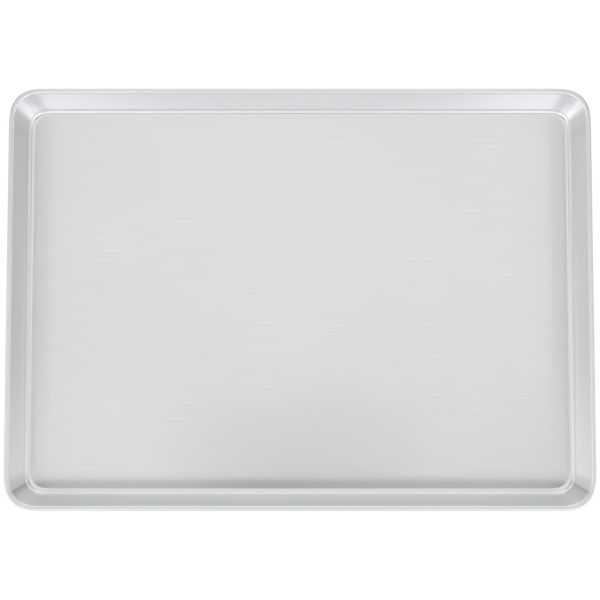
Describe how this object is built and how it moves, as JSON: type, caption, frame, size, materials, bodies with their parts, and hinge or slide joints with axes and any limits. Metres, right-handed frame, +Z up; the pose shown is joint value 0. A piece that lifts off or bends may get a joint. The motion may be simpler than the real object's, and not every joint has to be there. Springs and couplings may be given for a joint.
{
  "type": "rectangular sheet pan",
  "caption": "Shallow rectangular baking tray of bare satin aluminium, with sloping walls, round corners and an edge rolled round a steel wire.",
  "frame": {"origin": "on the table, under the middle of the floor", "axes": "+X along the long sides, +Y towards the back side, +Z up out of the tray"},
  "size_m": [0.4572, 0.3302, 0.0254],
  "materials": {
    "pan_body": "bare aluminium with a fine satin grain along its length",
    "rim_wire": "dull galvanised steel wire"
  },
  "bodies": {
    "root": {"pan_body": "pan_body", "rim_wire": "rim_wire"}
  },
  "joints": []
}
